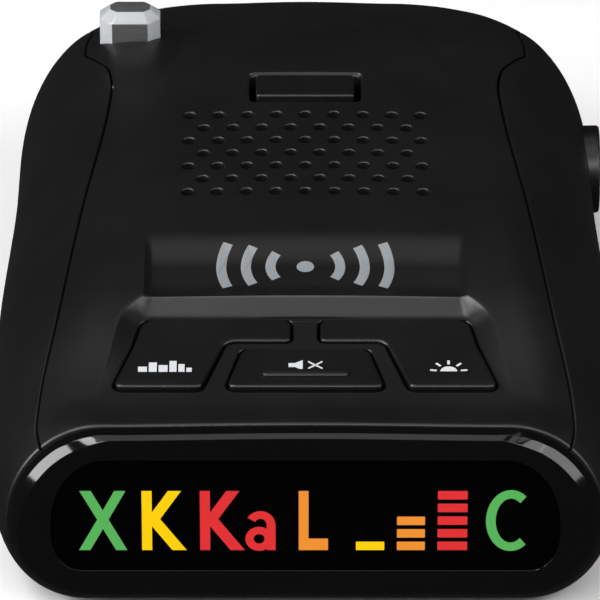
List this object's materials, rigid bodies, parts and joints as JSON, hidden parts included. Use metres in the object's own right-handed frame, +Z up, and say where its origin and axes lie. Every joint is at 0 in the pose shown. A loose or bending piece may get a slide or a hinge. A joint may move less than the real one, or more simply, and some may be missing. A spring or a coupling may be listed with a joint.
{
  "type": "radar detector",
  "caption": "Windscreen-mounted radar and laser detector with a glossy icon display, key pocket, speaker grille, bracket release, clear laser lens and volume knob.",
  "frame": {"origin": "middle of the flat underside, at half the housing's length and on its centre line", "axes": "+Y from the display face to the windscreen end, +Z up, +X to the driver's right"},
  "size_m": [0.0716, 0.1059, 0.0349],
  "materials": {
    "case_plastic": "satin, fine moulded texture",
    "inner_plastic": "plain moulded",
    "key_plastic": "satin moulded",
    "bezel_gloss": "polished gloss",
    "display_glass": "smoked gloss window",
    "icon_film": "printed film",
    "clear_lens": "clear, faceted",
    "laser_red": "dark red filter",
    "white_plastic": "white moulded",
    "led_resin": "moulded resin",
    "circuit_board": "green lacquered laminate",
    "component_black": "moulded epoxy",
    "steel": "bright plated steel",
    "horn_zinc": "as-cast metal",
    "magnet": "dark coated ferrite",
    "speaker_paper": "pressed paper",
    "foam": "closed-cell foam",
    "label_film": "blank silver film",
    "brass_pin": "plated brass"
  },
  "bodies": {
    "housing": {"top_cover": "case_plastic", "left_side_panel": "case_plastic", "right_side_panel": "case_plastic", "bottom_shell": "case_plastic", "rating_label": "label_film", "front_bezel": "bezel_gloss", "display_window": "display_glass", "icon_film": "icon_film", "light_guide": "white_plastic", "display_board": "circuit_board", "led_x_band": "led_resin", "led_k_band": "led_resin", "led_ka_band": "led_resin", "led_laser": "led_resin", "led_signal_low": "led_resin", "led_signal_mid": "led_resin", "led_signal_high": "led_resin", "led_city": "led_resin", "city_switch": "component_black", "mute_switch": "component_black", "dim_switch": "component_black", "key_board": "circuit_board", "bracket_socket": "inner_plastic", "laser_lens": "clear_lens", "rear_laser_sensor": "component_black", "rear_sensor_board": "circuit_board", "front_laser_window": "laser_red", "front_laser_sensor": "component_black", "main_board": "circuit_board", "horn_antenna": "horn_zinc", "radar_shield": "steel", "processor_chip": "component_black", "display_connector": "white_plastic", "speaker_basket": "steel", "speaker_magnet": "magnet", "speaker_cone": "speaker_paper", "speaker_gasket": "foam", "volume_pot": "steel", "power_jack": "component_black", "power_pin": "brass_pin", "case_screw_front_left": "steel", "case_screw_front_right": "steel", "case_screw_rear_left": "steel", "case_screw_rear_right": "steel", "board_screw_front": "steel", "board_screw_rear": "steel", "release_spring": "steel"},
    "city_key_body": {"city_key": "key_plastic", "city_plunger": "white_plastic"},
    "mute_key_body": {"mute_key": "key_plastic", "mute_plunger": "white_plastic"},
    "dim_key_body": {"dim_key": "key_plastic", "dim_plunger": "white_plastic"},
    "release_body": {"release_button": "key_plastic", "release_latch": "inner_plastic"},
    "volume_body": {"volume_knob": "key_plastic", "volume_shaft": "steel"}
  },
  "joints": [
    {"name": "city_press", "type": "slide", "parent": "housing", "child": "city_key_body", "axis": [0, 0.1392, -0.9903], "range_m": [0, 0.0005], "stiffness_N_per_m": 1500, "springref_m": -0.0004},
    {"name": "mute_press", "type": "slide", "parent": "housing", "child": "mute_key_body", "axis": [0, 0.1392, -0.9903], "range_m": [0, 0.0005], "stiffness_N_per_m": 1500, "springref_m": -0.0004},
    {"name": "dim_press", "type": "slide", "parent": "housing", "child": "dim_key_body", "axis": [0, 0.1392, -0.9903], "range_m": [0, 0.0005], "stiffness_N_per_m": 1500, "springref_m": -0.0004},
    {"name": "release_press", "type": "slide", "parent": "housing", "child": "release_body", "axis": [0, 0, -1], "range_m": [0, 0.0012], "stiffness_N_per_m": 700, "springref_m": -0.001, "deforming": ["release_spring"]},
    {"name": "volume_turn", "type": "hinge", "parent": "housing", "child": "volume_body", "pos_m": [0.0335, 0.027, 0.0148], "axis": [-1, 0, 0], "range_deg": [0, 300]}
  ]
}
